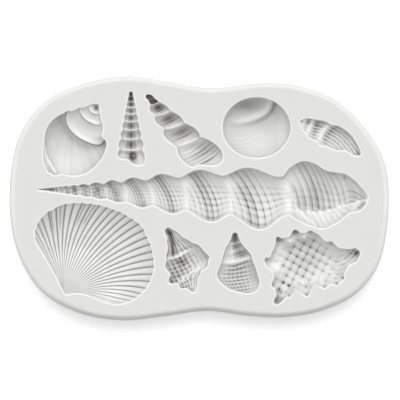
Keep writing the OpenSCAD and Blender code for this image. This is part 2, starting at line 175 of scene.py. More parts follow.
# Spots of painted shade on the spire's walls, and their sizes in mm.
spire_spots = (((363.5, 204.5), 0.9), ((359.5, 208.5), 1), ((333.5, 173.5), 0.8), ((345, 177), 0.8),
               ((263.5, 171.5), 0.7), ((275, 178), 0.6))


def set_down(flat, place_share, turn):
    """Turns and moves a shell's own flat points to their place on the slab."""
    angle = np.radians(turn)
    across = np.array([[np.cos(angle), np.sin(angle)], [-np.sin(angle), np.cos(angle)]])
    return flat @ across + (place_share[0] * slab_long, place_share[1] * slab_wide)


# The slab's length and its middle in the photograph, in pixels.
slab_pixels, slab_middle = 379.5, (199.25, 198.25)


def spot(*places):
    """Places read off the photograph, in its pixels, as millimetres on the slab."""
    return (np.array(places) - slab_middle) * (1, -1) * slab_long / slab_pixels


def beside(flat, *path):
    """How far each point lies from a path drawn through photograph places, more than 0 on the path's left,
    and how far along the path it is, from 0 to 1."""
    line = through(spot(*path), 6)
    start, run = line[:-1], np.diff(line, axis=0)
    points = flat.reshape(-1, 1, 2)
    part = np.clip(((points - start) * run).sum(2) / (run ** 2).sum(1), 0, 1)
    off = points - start - part[..., None] * run
    gap = np.linalg.norm(off, axis=2)
    best = gap.argmin(1)
    each = np.arange(len(best))
    off, run = off[each, best], run[best]
    side = np.sign(run[:, 0] * off[:, 1] - run[:, 1] * off[:, 0])
    shape = flat.shape[:-1]
    return (gap[each, best] * side).reshape(shape), ((best + part[each, best]) / len(start)).reshape(shape)


def hump(gap, half):
    """1 where gap is 0, falling softly to 0 a little beyond half."""
    return np.exp(-(gap / half) ** 2)


def patch(flat, place, size, squash=(1, 1)):
    """A soft round patch: 1 at a photograph place, falling to 0 a little beyond the given size in mm."""
    return hump(np.linalg.norm((flat - spot(place)[0]) * squash, axis=-1), size)


def sink(flat, depth, tone):
    """Heights of a hollow's points. The rim starts at the lip, and the wall falls away from there."""
    height = slab_thick - np.hypot(lip_drop, np.maximum(depth, 0))
    return lay(np.concatenate([flat, height[..., None]], -1), tone)


def carve_strip(flat, depth, tone):
    """A hollow made of lines across a shell, first to last along its axis."""
    numbers = sink(flat, depth, tone)
    skin(numbers, closed=False)
    around = [(0, slice(None)), (slice(1, None), -1), (-1, slice(-2, None, -1)), (slice(-2, 0, -1), 0)]
    lip(np.concatenate([flat[k] for k in around]), np.concatenate([numbers[k] for k in around]))


def strip_grid(rows, long, wide, deep, bow, across):
    """Flat points and depths over a shell: rows run along it, and a half-round profile lies across each.
    side is the place across, from 1 at the left rim to -1, and wall is 1 in the middle and 0 at both rims."""
    left, right = rows[:, 0:2] * (long, wide / 2), rows[:, 2:4] * (long, wide / 2)
    angle = np.linspace(0, np.pi, across)
    side = np.cos(angle)
    middle, arm = (left + right) / 2, (left - right) / 2
    half = np.linalg.norm(arm, axis=1)
    flat = middle[:, None] + side[None, :, None] * arm[:, None]
    flat[..., 0] += bow * half[:, None] * (1 - side ** 2)
    closing = np.clip(np.linalg.norm(middle - middle[-1], axis=1) / (0.6 * half + 0.3), 0, 1) ** 0.5
    depth = deep * (rows[:, 4] * closing * np.minimum(1, half / (wide / 2)))[:, None] * np.sin(angle) ** 0.8
    return flat, depth, side, np.sqrt(np.clip(1 - side ** 2, 0, 1))


def along_share(rows):
    """How far along the shell the middle of each row lies, as a share of the shell's length."""
    return (rows[:, 0] + rows[:, 2]) / 2


def mottle(flat, size):
    """Uneven patches between -1 and 1, about the given size in mm."""
    x, y = flat[..., 0] / size, flat[..., 1] / size
    return np.sin(3.1 * x + 2 * np.sin(2.1 * y)) * np.sin(2.9 * y + 2 * np.sin(2.3 * x))


def thread(phase, thin):
    """1 on each whole number of phase and 0 away from it; thin is the thread's half width in phase."""
    off = np.abs(phase - np.round(phase))
    return np.exp(-(off / thin) ** 2)


def whorl_number(along, last, lead, growth, whorls):
    """How many whorls lie on the tip side of a place along a spire that grows at one rate."""
    return whorls + np.log((along + lead) / (last + lead)) / np.log(growth)


def whorl_rows(along, whorl, neck, left_swell, right_swell, round_off, lean):
    """Rows of a spire that is as wide as its neck at each seam and swells on both sides between the seams."""
    swell = np.abs(np.sin(np.pi * whorl)) ** round_off
    left, right = neck * (1 + left_swell * swell), neck * (1 + right_swell * swell)
    return np.column_stack([along - lean * left, left, along + lean * right, -right, np.ones_like(along)])


along = np.linspace(0.002, 0.735, 400)
whorl = whorl_number(np.maximum(along, 0.03), spire_last_seam, spire_lead, spire_growth, spire_whorls)
neck = 0.8 * along / spire_last_seam * np.interp(whorl, (2, 6), (0.94, 1))
neck = neck * (1 - 0.32 * np.clip((whorl - 6) / 2, 0, 1) ** 2)
left_swell = np.interp(whorl, (1, 3.6, 4.5, 5.5, 6.5, 7.5), (0.3, 0.4, 0.38, 0.38, 0.37, 0.44))
right_swell = np.interp(whorl, (1, 3.6, 4.5, 5.5, 6.5, 7.5), (0.2, 0.28, 0.4, 0.42, 0.52, 0.76))
lean = np.interp(along, (0.12, 0.24, 0.31, 0.39, 0.55), (0.022, 0.03, 0.034, 0.0285, 0.022))
rows = whorl_rows(along, whorl, neck, left_swell, right_swell, round_off=1.6, lean=lean)
rows[:, [1, 3]] -= 0.015 * np.sin(np.pi * np.clip((along - 0.15) / 0.6, 0, 1))[:, None]
body = through(spire_body_shares, steps=11)
rows = np.concatenate([rows, body])
whorl = np.concatenate([whorl, spire_whorls + 6.9 * (along_share(body) - 0.753)])[:, None]
flat, depth, side, wall = strip_grid(rows, spire_long, spire_wide, spire_deep, bow=0.2, across=38)
flat = set_down(flat, spire_place, spire_turn)
scale = np.clip(depth.max(1) / spire_deep, 0, 1)[:, None]
turn = whorl - np.floor(whorl)
past_seam = whorl - np.clip(np.round(whorl), 0, spire_whorls)
lip_gap = beside(flat, *spire_lip)[0]
last = whorl > 8.1
below = (lip_gap < 0) & last
# The furrows run across the spire at a slant and fade before each seam, and the cords run along it.
fading = np.where(whorl < spire_whorls, 1 - 0.8 * np.clip(turn * 4 - 2.6, 0, 1),
                  np.clip((9.35 - whorl) / 0.3, 0.1, 1))
coil = spire_furrows * (whorl + np.where(last, 0.07, 0.11) * side) + np.minimum(whorl - 5.5, 0)
furrows = thread(coil, 0.135) * fading
ridges = thread(coil - 0.28, 0.2) * fading
cords = thread(side * spire_cords / 2 + 0.48 + 1.5 * np.clip(side - 0.4, 0, 1), 0.15)
net = np.clip(0.5 - 0.6 * side + 2 * np.clip(turn - 0.5, 0, 0.5), 0.3, 1) * np.clip((whorl - 3) / 4, 0, 1)
net = net * np.where(last, 0.3, 1)
# The core is the deep middle of each whorl, where the light reaches least.
dark_turn = np.interp(whorl, (6.9, 7.1), (0.45, 0.32))
core = np.where(last, 0.5 * hump(whorl - 8.52 + 0.1 * side, 0.16), hump(turn - dark_turn + 0.12 * side, 0.19))
core = core + 0.12 * np.sin(whorl * 21 + 2 * side) + 0.2 * np.clip(6 - whorl, 0, 1)
core = core + 0.5 * patch(flat, spire_core, 2.6, (1 / 1.3, 1)) * last
# Painted shade darkens the core and the last whorl; painted highlights lighten the upper wall by the seams.
tip_side = np.clip((whorl - 9.05) * 3, 0, 1)
by_seam = np.clip(np.maximum((turn - 0.5) * 4, 1.4 - turn * 4), 0, 1)
pale_top = np.where(last, 0.6 + 0.4 * tip_side + 0.4 * np.clip(1.5 - (whorl - 8) * 5, 0, 1), by_seam)
pale_top = pale_top * hump(side - 0.8, 0.4) * np.clip(whorl - 5, 0, 1)
shade = 0.42 * core - 0.07 + 0.24 * last - 0.06 * hump(whorl - 7.4, 0.5) - 0.8 * pale_top
# Each seam is a ridge with a painted highlight, a little past the whorl's narrowest place on the upper side.
top_shift = np.clip(side, 0, 1) * np.clip(whorl - 5, 0, 1)
ridge_gap = np.abs(past_seam - 0.07 * top_shift) + 0.03 * side * (1 - top_shift) + 0.02
pale_seam = hump(ridge_gap, 0.1 + 0.03 * top_shift) * np.clip(0.85 - 0.3 * side + 0.3 * top_shift, 0.5, 1)
crest = hump(np.abs(past_seam) + 0.02 * np.sin(9 * side), 0.025) * np.clip(0.7 - 0.3 * side, 0.3, 1)
fine = thread((whorl + 0.1 * side) * 32, 0.25) * pale_seam
depth = depth + (0.3 * furrows - 0.12 * ridges + 0.25 * cords * net - 0.8 * pale_seam * wall) * scale * wall
depth = depth - 0.5 * hump(lip_gap + 0.5, 0.6) * wall * last
# Painted shade fills the furrows, the cords' net and the core by the rims; ridges, seams and crests get
# painted highlights.
furrow_tone = (0.33 + 0.2 * core + 0.3 * hump(side - 0.75, 0.3) * last) * np.clip(0.8 + 0.35 * side, 0, 1)
tone = shade + 0.35 * hump(np.abs(side) - 1, 0.25) * core + furrow_tone * furrows - 0.22 * ridges
tone = tone + (0.36 + 0.38 * furrows) * cords * net - 0.2 * net * (1 - cords) * (1 - furrows)
tone = tone - 0.4 * pale_seam - 0.25 * crest + 0.25 * fine
# Below the lip of the last whorl pale tongues lie side by side with painted shade between them, and
# at its start a fold is only painted, as a painted highlight with painted shade beside it.
tongue = (whorl + 0.5 * side) * 7.5 + 0.4
tongues = thread(tongue, 0.13) + 0.5 * thread(tongue + 0.35, 0.1)
tone = np.where(below, 0.8 * tongues - 0.45, tone)
fold_gap, fold_run = beside(flat, *spire_fold)
tone = tone - 0.6 * hump(fold_gap, 0.6) * last
tone = tone + 0.35 * hump(fold_gap - 1.1, 0.3) * last * np.clip(fold_run * 3 - 1, 0, 1)
# Dark lines run towards the tip; painted shade lies just above the lip and a painted highlight just below it.
tone = tone + 0.55 * thread(side * 3.5 + 0.3, 0.16) * tip_side * (1 - below)
tone = tone + 0.3 * hump(lip_gap - 0.3, 0.3) * last * hump(whorl - 8.6, 0.35)
tone = tone - 0.4 * hump(lip_gap + 0.2, 0.35) * last
# The first whorls are too small for their furrows to show; they get uneven painted shade, darkest at the tip.
early = np.clip(4 - whorl, 0, 1)
small = np.clip(1 - along_share(rows) / 0.3, 0, 1)[:, None]
tone = tone * (1 - 0.4 * early) + early * (0.35 * mottle(flat, 0.9) + 0.2)
tone = tone + 0.3 * small + 0.5 * np.clip(small * 5 - 3.9, 0, 1)
for place, size in spire_spots:
    tone = tone + 0.7 * patch(flat, place, size)
carve_strip(flat, depth, tone * wall ** 0.5)

# The snail
# The hollow of a fat round-mouthed snail with three spire whorls. The silicone took its smooth skin
# with soft growth folds, and ran in under its open lip, which leaves a thin wall there.
snail_long, snail_wide, snail_deep = 25.8, 19.6, 9.0
snail_place, snail_turn = (-0.269, 0.388), -120
snail_shares = [
    (0, 0.04, 0.02, -0.06, 1), (0.05, 0.14, 0.05, -0.13, 1), (0.1, 0.24, 0.085, -0.21, 0.9),
    (0.14, 0.33, 0.13, -0.3, 1), (0.19, 0.46, 0.157, -0.42, 0.9), (0.25, 0.57, 0.21, -0.51, 1),
    (0.33, 0.66, 0.25, -0.61, 1.04), (0.345, 0.8, 0.262, -0.7, 0.92), (0.37, 0.9, 0.32, -0.78, 0.92),
    (0.43, 0.96, 0.375, -0.88, 1), (0.5, 0.99, 0.49, -0.99, 1), (0.56, 1, 0.605, -0.98, 1),
    (0.63, 0.97, 0.71, -0.88, 1), (0.7, 0.93, 0.78, -0.78, 1), (0.755, 0.87, 0.856, -0.69, 0.97),
    (0.815, 0.78, 0.93, -0.56, 0.93), (0.89, 0.58, 0.995, -0.38, 0.9), (0.94, 0.32, 1.025, -0.24, 0.9),
    (0.96, 0.12, 1.015, -0.14, 0.9)]
# Each seam's height and softness in mm, and its path; each spot's place, size in mm and painted shade.
snail_seams = (
    (1.5, 2.2, ((67.5, 110), (66.3, 115), (65.8, 119.6), (67.6, 125.8), (72.1, 132.2), (78.5, 137.3),
                (85.5, 141.1), (91.2, 143.4), (97.6, 144.6), (100.6, 143.9), (104, 140.5))),
    (0.9, 1.3, ((79.2, 108), (80.1, 112.4), (82.9, 116.9), (87.4, 120.7), (92.5, 123.3), (97.6, 124.9),
                (101.5, 123.6))),
    (0.5, 0.7, ((88.2, 106), (89.3, 109.9), (91.9, 112.4), (95.7, 114), (99.5, 114))))
snail_lip = ((44.6, 148), (46, 154), (48.5, 159.6), (52.3, 166.6), (56.5, 173.5))
snail_body_seam = ((67.5, 110), (65.8, 119.6), (72.1, 132.2), (85.5, 141.1), (104, 140.5))
snail_fold_hub, snail_tip = (70, 112), (96.3, 107.3)
snail_pale_corner, snail_pale_start = (56, 120), (72, 116)
snail_spots = (((104, 142), 1.2, 0.4), ((66.5, 112.5), 1.0, 0.15))
rows = through(snail_shares, steps=7)
flat, depth, side, wall = strip_grid(rows, snail_long, snail_wide, snail_deep, bow=0.5, across=48)
flat = set_down(flat, snail_place, snail_turn)


def seam_step(gap, high, soft):
    """A seam between two whorls, cast as a ridge: the tip side climbs to it slowly, the other side drops."""
    drop = 0.55 * hump(gap, 0.3) + 0.45 * np.exp(-np.abs(gap) / soft)
    return high * np.where(gap > 0, drop, np.exp(gap / soft))


# Each seam gets painted shade just past its drop, and a painted highlight on the side that climbs to it.
tone = np.zeros_like(depth)
for high, soft, path in snail_seams:
    gap = -beside(flat, *path)[0]
    depth = depth - seam_step(gap, high, soft) * wall
    tone = tone + 0.6 * hump(gap - 0.1, 0.2) + 0.3 * np.exp(-np.abs(gap - 0.2) / soft / 0.8) * (gap > 0.1)
    tone = tone - 0.45 * np.exp(np.minimum(gap, 0) / soft * 1.2) * (gap < 0)
# The shell's own lip stands as a thin wall across the hollow, with a painted highlight along it, and
# past it the floor is shallow and painted darker.
gap = beside(flat, *snail_lip)[0]
lip_ridge = hump(gap, 0.4)
depth = depth * (1 - 0.8 * lip_ridge)
depth = np.where(gap < 0, np.minimum(depth, 1.5), depth)
tone = tone - 1.2 * lip_ridge + 0.4 * (gap < -0.3)
# Growth folds fan out over the body whorl from the start of its seam, drawn only as painted light
# and shade. Painted shade also darkens the body below its seam, the tip's cap and two spots;
# painted highlights lie beyond the seam, at its start and by the left corner.
fold = flat - spot(snail_fold_hub)[0]
around = np.degrees(np.arctan2(fold[..., 1], fold[..., 0]))
folds = 0.5 * np.cos(around / 3.6) + 0.5 * np.cos(around / 1.7 + 1) + 0.4 * np.cos(around / 1.1)
body_gap, run = beside(flat, *snail_body_seam)
body = np.clip(-body_gap - 0.5, 0, 1)
tone = tone + (0.07 * folds + 0.009 * np.linalg.norm(fold, axis=-1)) * body - 0.14
tone = tone + 0.55 * np.exp(-np.abs(body_gap) / 2.4) * body * np.clip(1.3 - 1.6 * run, 0, 1)
tone = tone - 0.16 * (1 - np.exp(-np.maximum(body_gap, 0) / 1.2))
tone = tone - 0.3 * patch(flat, snail_pale_start, 1.8) * (body_gap > 0)
cap = patch(flat, snail_tip, 1.1, (1, 0.75))
tone = tone * (1 - cap) + 0.9 * cap
for place, size, dark in snail_spots:
    tone = tone + dark * patch(flat, place, size)
corner = spot(snail_pale_corner)[0]
tone = tone - 0.3 * np.clip((corner[0] - flat[..., 0]) / 2.5, 0, 1) * (flat[..., 1] < corner[1])
carve_strip(flat, depth, tone)

# The slim cerith
# The hollow of a slim, straight shell, tip up: eight whorls that grow slowly, ribbed across, with the
# mouth at the foot as a small round hole.
cerith_long, cerith_wide, cerith_deep = 23.3, 8.6, 4.0
cerith_place, cerith_turn = (-0.18, 0.438), -90
cerith_whorls, cerith_growth, cerith_last_seam, cerith_lead = 7, 1.12, 0.785, 0.52
cerith_swell, cerith_ribs = 0.21, 3
cerith_mouth = (133, 155.9)
cerith_body_shares = [
    (0.8, 0.8, 0.795, -0.8, 0.85), (0.855, 0.94, 0.85, -0.96, 1), (0.93, 1, 0.895, -0.87, 1),
    (0.985, 0.88, 0.915, -0.55, 1), (1, 0.6, 0.915, -0.32, 1), (0.995, 0.3, 0.93, -0.16, 1)]
along = np.linspace(0.008, 0.78, 115)
whorl = whorl_number(along, cerith_last_seam, cerith_lead, cerith_growth, cerith_whorls)
neck = 0.09 * np.sqrt(np.clip(along / 0.02, 0, 1)) + 0.69 * (along / 0.765) ** 1.05
rows = whorl_rows(along, whorl, neck, cerith_swell, cerith_swell, round_off=1, lean=0)
body = through(cerith_body_shares, steps=7)
rows = np.concatenate([rows, body])
whorl = np.concatenate([whorl, cerith_whorls + np.linspace(0.2, 1, len(body))])[:, None]
flat, depth, side, wall = strip_grid(rows, cerith_long, cerith_wide, cerith_deep, bow=0.1, across=30)
flat = set_down(flat, cerith_place, cerith_turn)
seam = np.abs(whorl - np.round(whorl)) * (whorl < 7.5) + (whorl >= 7.5) * 0.5
turn = np.sin(np.pi * np.clip(seam, 0, 0.5))
axials = np.cos(2 * np.pi * side * cerith_ribs)
seams = hump(seam, 0.12) * np.clip(whorl - 0.5, 0, 1)
depth = depth + (0.12 * axials - 0.45 * seams) * wall
sides = np.interp(whorl, (2, 4.5, 7), (0.38, 0.22, -0.1))
# Painted shade fills the deep middle and each whorl's centre, darkest at the tip; the seams get painted
# highlights.
tone = ((0.9 - sides) * hump(side, 0.5) + sides) * (0.35 + 0.65 * turn) * (1 + 0.18 * axials) - 0.45 * seams
tone = tone + 0.6 * np.clip(1 - (whorl - 0.2) / 1.8, 0, 1)
# The mouth, a small round hole, gets painted shade: a dark ring round a dark middle.
hole = np.linalg.norm(flat - spot(cerith_mouth)[0], axis=-1)
tone = tone * np.where(whorl < 7.2, 1, 0.5) + 0.45 * hump(hole - 0.95, 0.5) + 0.45 * hump(hole, 0.8)
carve_strip(flat, depth, tone * wall ** 0.5)

# The turret
# The hollow of a loose-coiled turret with round whorls, which are streaked along the coil. Silicone fills
# the seams between them and stands there as ridges, which get painted highlights.
turret_long, turret_wide, turret_deep = 31.6, 11.0, 4.8
turret_place, turret_turn = (-0.137, 0.424), -49
turret_whorls, turret_growth, turret_last_seam, turret_lead = 4, 1.26, 0.63, 0.4
turret_ridges, turret_streaks = 8, 10
turret_body_shares = [
    (0.66, 0.68, 0.59, -0.66, 0.85), (0.75, 0.94, 0.63, -0.8, 1), (0.82, 1.06, 0.68, -0.92, 1),
    (0.88, 1.09, 0.74, -0.92, 1), (0.93, 1.03, 0.8, -0.86, 1), (0.97, 0.88, 0.845, -0.74, 1),
    (0.99, 0.63, 0.86, -0.46, 1), (0.985, 0.34, 0.9, -0.16, 1)]
along = np.linspace(0.002, 0.6, 115)
whorl = whorl_number(along, turret_last_seam, turret_lead, turret_growth, turret_whorls)
# The tip is a small round bud, and each whorl swells most near its start.
bud = 0.17 * np.sqrt(np.clip(along * (0.08 - along), 0, 1)) / 0.04
neck = np.maximum(0.67 * (along / turret_last_seam) ** 0.65, bud)
turn = np.clip(whorl % 1, 0.01, 0.99)
shoulder = np.sin(np.pi * turn ** 0.7) / np.sin(np.pi * turn)
left_swell = np.interp(whorl, (0.5, 1.5, 3.5), (0.1, 0.28, 0.34))
right_swell = np.interp(whorl, (0.5, 1.5, 2.5, 3.5), (0.1, 0.65, 0.5, 0.4)) * shoulder
rows = whorl_rows(along, whorl, neck, left_swell, right_swell, round_off=1, lean=-0.075)
body = through(turret_body_shares, steps=8)
rows = np.concatenate([rows, body])
whorl = np.concatenate([whorl, turret_whorls + np.linspace(0, 1, len(body))])[:, None]
flat, depth, side, wall = strip_grid(rows, turret_long, turret_wide, turret_deep, bow=0.1, across=36)
flat = set_down(flat, turret_place, turret_turn)
seam = np.abs(whorl - np.clip(np.round(whorl), 1, turret_whorls))
streak = whorl - np.floor(whorl) + 0.1 * side
ridges = np.cos(2 * np.pi * streak * turret_ridges) * (seam > 0.1)
streaks = np.cos(2 * np.pi * streak * turret_streaks)
depth = depth + (0.08 * ridges - 0.8 * hump(seam, 0.1)) * wall
# Painted shade darkens bands in each whorl, more on its streaks, and the tip; painted highlights lie on the
# seams.
tone = 0.38 * hump(streak - 0.35, 0.18) * hump(side - 0.15, 0.9)
tone = tone + 0.5 * hump(streak - 0.62, 0.035) * hump(side, 0.8)
tone = tone + 0.33 * hump(streak - 0.5, 0.35) * hump(side, 0.9) * np.interp(whorl, (2.6, 3.6, 4), (1, 0.4, 0))
tone = 1.15 * tone * (1 + np.clip(0.17 * whorl - 0.1, 0.05, 0.55) * streaks) + 0.12 + 0.09 * streaks
tone = tone - 0.7 * hump(seam, 0.1) - 0.1 * (whorl > turret_whorls) + 0.18 * hump(side, 0.7) * (whorl < 2)
tone = tone - 0.3 * hump(whorl - 4.12, 0.15) * np.clip(0.3 - side, 0, 1)
tone = np.where(whorl < 1, 1.1 - 0.15 * hump(whorl - 0.45, 0.12), tone)
carve_strip(flat, depth, tone * wall ** 0.5)

# The moon shell
# The hollow of a round, almost flat-spired moon shell, seen from above. The silicone is as smooth as the
# shell was, but for one curling seam and faint growth lines.
moon_long, moon_wide, moon_deep = 21.2, 19.0, 8.0
moon_place = (0.151, 0.289)
moon_line_gap = 1.15
moon_seam = ((273, 98), (272, 104), (269, 110.5), (262.5, 116), (251, 120.5), (238, 123), (225, 121))
moon_growth_hub, moon_deep_spot, moon_low_spot = (236, 108), (247, 105), (262, 123)
moon_pale_left, moon_pale_right = spot((232, 0), (277, 0))[:, 0]


def carve_fan(flat, depth, tone):
    """A hollow made of rings round a hub, innermost first."""
    numbers = sink(flat, depth, tone)
    skin(numbers)
    middle = lay(np.array([[*flat[0].mean(0), slab_thick - depth[0].mean()]]), float(np.mean(tone[0])))[0]
    faces.extend([int(a), int(b), int(middle)] for a, b in zip(numbers[0], np.roll(numbers[0], -1)))
    lip(flat[-1], numbers[-1])


angle = np.linspace(0, 2 * np.pi, 170, endpoint=False)
rings = np.sin(np.linspace(0.03, 1, 29) * np.pi / 2)[:, None]
flat = np.stack([rings * np.cos(angle) * moon_long / 2, rings * np.sin(angle) * moon_wide / 2], -1)
flat = set_down(flat, moon_place, 0)
wall = np.sqrt(1 - rings ** 2) * np.ones_like(angle)
depth = moon_deep * wall ** 0.8
# One broad seam curls in from the upper right and fades out, with painted shade on one side of it and a
# painted highlight on the other. Two deep spots get painted shade, and painted highlights lie at both ends.
gap, run = beside(flat, *moon_seam)
high = 1.4 * np.clip(1 - run, 0, 1) ** 0.6
depth = depth - high * wall * np.where(gap > 0, np.exp(-gap / 1.2), np.exp(gap / 1.8))
fade = np.clip(1.15 - run, 0, 1)
tone = (0.5 * hump(gap - 0.8, 0.7) + 0.16 * np.exp(-np.abs(gap - 0.8) / 2) * (gap > 0)) * fade ** 1.5
tone = tone - 0.5 * hump(gap + 0.9, 0.8) * fade ** 0.5
tone = tone + 0.42 * patch(flat, moon_deep_spot, 1.9, (0.4, 1)) + 0.04
tone = tone + 0.1 * patch(flat, moon_low_spot, 4, (0.8, 1))
tone = tone - 0.25 * np.clip((flat[..., 0] - moon_pale_right) / 2.5, 0, 1)
tone = tone - 0.35 * np.clip((moon_pale_left - flat[..., 0]) / 2.5, 0, 1) * (gap > 0)
growth = np.linalg.norm(flat - spot(moon_growth_hub)[0], axis=-1) / moon_line_gap
tone = tone + 0.06 * np.cos(2 * np.pi * growth + np.sin(growth)) * np.clip(gap, 0, 1)
carve_fan(flat, depth, tone)

# The small whelk
# The hollow of a small spindle-shaped whelk, with cords that run its whole length to the canal.
# Its seams were narrow grooves, so the silicone stands across the hollow there as ridges with painted
# highlights.
whelk_long, whelk_wide, whelk_deep = 21.5, 8.0, 3.6
whelk_place, whelk_turn = (0.267, 0.314), -29.6
whelk_cord_gap = 1.05
whelk_shares = [
    (0, 0.03, 0, -0.03, 1), (0.013, 0.17, 0.035, -0.2, 1), (0.035, 0.35, 0.078, -0.35, 1),
    (0.1, 0.54, 0.125, -0.48, 1), (0.15, 0.64, 0.185, -0.56, 0.95), (0.187, 0.71, 0.226, -0.72, 0.9),
    (0.27, 0.88, 0.3, -0.68, 1), (0.345, 0.96, 0.37, -0.65, 0.9), (0.4, 0.94, 0.41, -0.78, 0.95),
    (0.435, 0.96, 0.455, -0.795, 1), (0.485, 1.09, 0.51, -0.63, 1), (0.56, 1.165, 0.58, -0.6, 1),
    (0.665, 1.12, 0.66, -0.56, 1), (0.73, 1.03, 0.75, -0.29, 1), (0.79, 0.91, 0.79, -0.19, 1),
    (0.89, 0.59, 0.873, -0.2, 1), (0.975, 0.29, 0.94, -0.2, 1), (1.006, 0.12, 0.99, -0.11, 1)]
whelk_seams = (
    ((331.5, 121), (330.2, 124.5), (322.7, 132.4), (319.5, 145)),
    ((313, 118), (311.4, 124.5), (309.9, 128.5), (307.5, 137)),
    ((305.5, 118), (304.5, 123), (302.5, 128)))
whelk_cord = ((316, 124), (328.5, 130), (336, 134), (342.5, 139), (347, 144), (352, 150.5), (357, 157))
whelk_edge_lines = (
    ((304, 119.8), (313, 120.6), (321, 121.8), (328, 123.6)),
    ((300.5, 121.8), (308, 122.6), (315.5, 124), (322, 126.5)))
whelk_canal_end, whelk_tip_spot = (358.5, 154.5), (305, 121.5)
rows = through(whelk_shares, steps=7)
flat, depth, side, wall = strip_grid(rows, whelk_long, whelk_wide, whelk_deep, bow=0.1, across=38)
flat = set_down(flat, whelk_place, whelk_turn)
gaps = [beside(flat, *path)[0] for path in whelk_seams]
bands = sum(hump(gap, 0.85) for gap in gaps)
near = sum(hump(gap - 1.7, 0.9) for gap in gaps)
shift = 0.35 * sum(gap > 0 for gap in gaps)
# Past the body seam the cords follow the bent axis; on the spire they keep their share of its width.
cord = beside(flat, *whelk_cord)[0]
grooves = thread(np.where(gaps[0] > 0, cord / whelk_cord_gap, side * 3 + shift) + 0.1 * mottle(flat, 2), 0.2)
grooves = grooves * np.where(gaps[-1] < 0, np.clip(side + 0.3, 0.1, 1), 1)
fine = thread(side * 9 + 0.4, 0.2)
depth = depth + (0.25 * grooves - 0.6 * bands) * wall
# Painted shade fills the grooves, more beside the bands, and darkens two lines, the canal end and the tip;
# painted highlights lie on the bands and along one rim.
tone = (0.5 * grooves + 0.12 * fine) * (1 - 0.7 * np.clip(bands, 0, 1)) * (1 + 0.35 * mottle(flat, 1.4))
tone = tone + near * (0.45 * grooves * np.clip(0.75 + 0.4 * side, 0.4, 1) + 0.1)
tone = tone - 0.7 * bands + 0.04 - 0.1 * hump(side + 0.8, 0.4)
for path in whelk_edge_lines:
    tone = tone + 0.3 * hump(beside(flat, *path)[0], 0.28)
tone = tone + 0.35 * patch(flat, whelk_canal_end, 1.5)
tone = tone + 0.5 * patch(flat, whelk_tip_spot, 1.2, (0.5, 1.2))
carve_strip(flat, depth, tone * wall ** 0.5)

# The scallop
# The hollow of one scallop valve: broad ribs sweep out from the beak to the rim, with narrow furrows
# between. Four of the furrows begin only near the rim, where a rib forks.
scallop_long, scallop_deep, rib_high = 32.0, 6.0, 0.7
scallop_place = (-0.3524, -0.3859)
# Furrow numbers at angles round the fan in degrees, and how far the ribs bow in mm.
furrow_angles = (-19, -10, -1, 3, 47.5, 63.9, 68.6, 89.9, 96.4, 107.9, 116, 125)
furrow_numbers = (-8, -4, -1, 0, 10, 14, 15, 19, 20, 22, 24, 27.5)
forked_ribs = (15.5, 16.6, 19.5, 20.7)
bow_angles = (-5, 20, 45, 64, 80, 96, 110)
bows = (1.5, 1.6, 1.9, 2.4, 1.8, 0.5, -0.3)
beak, beak_round = (0.47, 0.38), 0.9
scallop_rim_shares = [
    (0.524, -0.113), (0.597, -0.094), (0.672, -0.063), (0.729, -0.02), (0.781, 0.034), (0.826, 0.104),
    (0.853, 0.175), (0.868, 0.25), (0.865, 0.329), (0.853, 0.404), (0.831, 0.479), (0.799, 0.549),
    (0.765, 0.624), (0.711, 0.687), (0.645, 0.73), (0.588, 0.766), (0.527, 0.796), (0.464, 0.819),
    (0.398, 0.841), (0.332, 0.859), (0.257, 0.871), (0.147, 0.88), (0.076, 0.877), (0.006, 0.871),
    (-0.047, 0.859), (-0.1, 0.832), (-0.18, 0.787), (-0.241, 0.726), (-0.281, 0.66), (-0.298, 0.585),
    (-0.289, 0.497)]
rim = through(scallop_rim_shares, 8) * scallop_long
rim_angle = np.degrees(np.arctan2(rim[:, 1], rim[:, 0]))
angle = np.linspace(rim_angle[0], rim_angle[-1], 356)
place = np.interp(angle, furrow_angles, furrow_numbers)
away = np.interp(angle, rim_angle, np.linalg.norm(rim, axis=1)) - 0.1 + 0.2 * thread(place, 0.25)
aim = np.column_stack([np.cos(np.radians(angle)), np.sin(np.radians(angle))])
aside = aim[:, ::-1] * (-1, 1)
# Every rib starts on a small round at the beak and bows on its way to the rim.
back = np.radians(np.linspace(-80, -170, len(angle)))
start = beak + beak_round * np.column_stack([np.cos(back), np.sin(back)])
way = np.linspace(0, 1, 31)[:, None]
bow = 4 * way * (1 - way) * np.interp(angle, bow_angles, bows)
margin_bow = 12 * way * (1 - way) * (0.75 - way)
by_margin = np.clip((-1 - angle) / 10, 0, 1)
bow = bow * (1 - by_margin) + margin_bow * by_margin
flat = start + way[..., None] * (aim * away[:, None] - start) + bow[..., None] * aside
flat = set_down(flat, scallop_place, 0)
# The hollow rises to its two straight margins as it does to the rim.
past_margins = [way * away * np.sin(np.radians(off)) for off in (angle - angle[0], angle[-1] - angle)]
margin_wall = np.prod([np.sqrt(1 - (1 - np.clip(gap / 5, 0, 1)) ** 2) for gap in past_margins], axis=0)
wall = np.sin(np.pi * np.maximum(way, 0.3) ** 0.8) ** 0.7 * margin_wall
forks = sum(hump(place - rib, 0.13) for rib in forked_ribs)
furrow = thread(place, 0.15) + 0.8 * forks * np.clip((way - 0.66) / 0.12, 0, 1)
ribbed = np.clip((way - 0.14) / 0.12, 0, 1)
rib_wide = np.clip(way * 1.3, 0.4, 1)
depth = scallop_deep * wall * (0.4 + 0.6 * np.clip(2 * way, 0, 1))
depth = np.maximum(depth + rib_high * rib_wide * (furrow - 0.3) * ribbed * np.minimum(1, wall * 2), 0)
